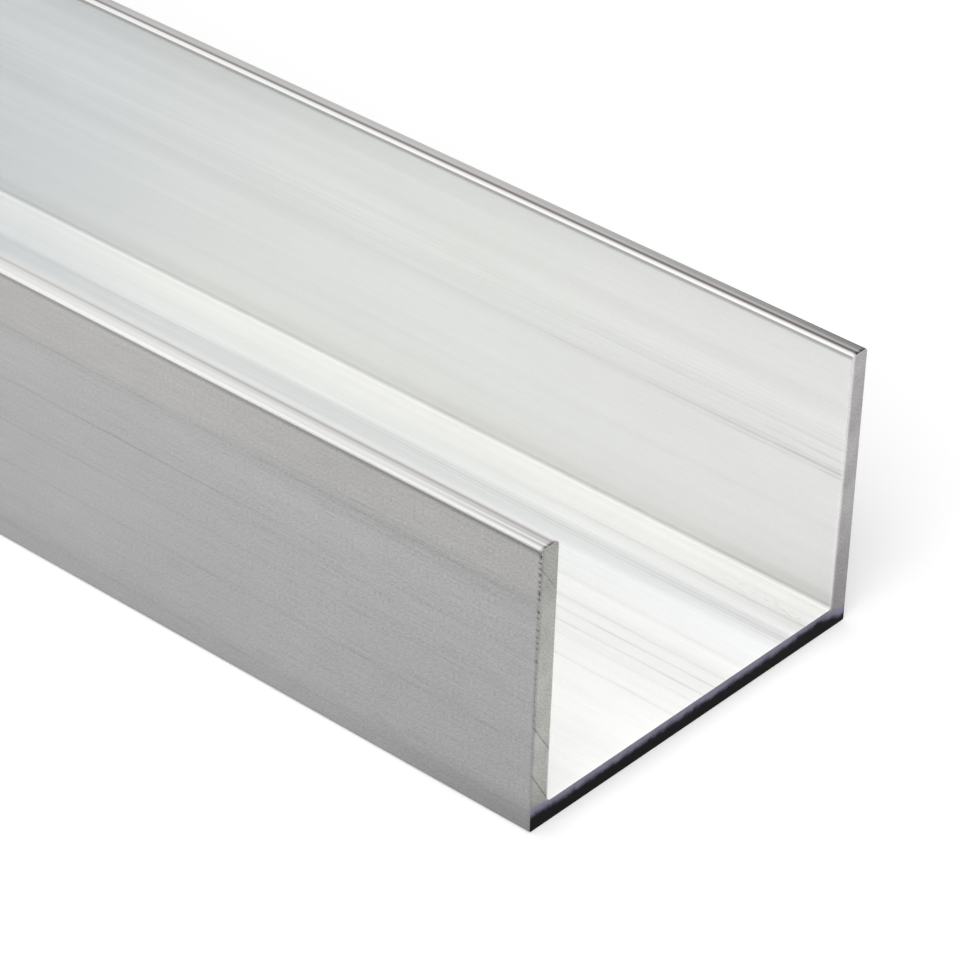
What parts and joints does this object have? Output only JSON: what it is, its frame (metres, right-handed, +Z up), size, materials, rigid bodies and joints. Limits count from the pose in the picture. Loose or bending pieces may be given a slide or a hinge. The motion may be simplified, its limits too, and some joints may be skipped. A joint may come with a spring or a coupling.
{
  "type": "aluminium channel section",
  "caption": "Straight extruded aluminium U-channel in mill finish, with a flat web, parallel flanges and square-sawn ends; stock for framing, edging and tracks.",
  "frame": {"origin": "middle of the web's underside, at half the length and half the width", "axes": "+X along the length, towards the end that faces the viewer in the picture; +Y across the width, towards the flange at the back; +Z up, from the web to the flange tips"},
  "size_m": [1, 0.06, 0.04],
  "materials": {
    "mill_aluminium": "mill finish as extruded: pale satin silver with fine die lines along the length, sawn ends"
  },
  "bodies": {
    "root": {"channel": "mill_aluminium"}
  },
  "joints": []
}
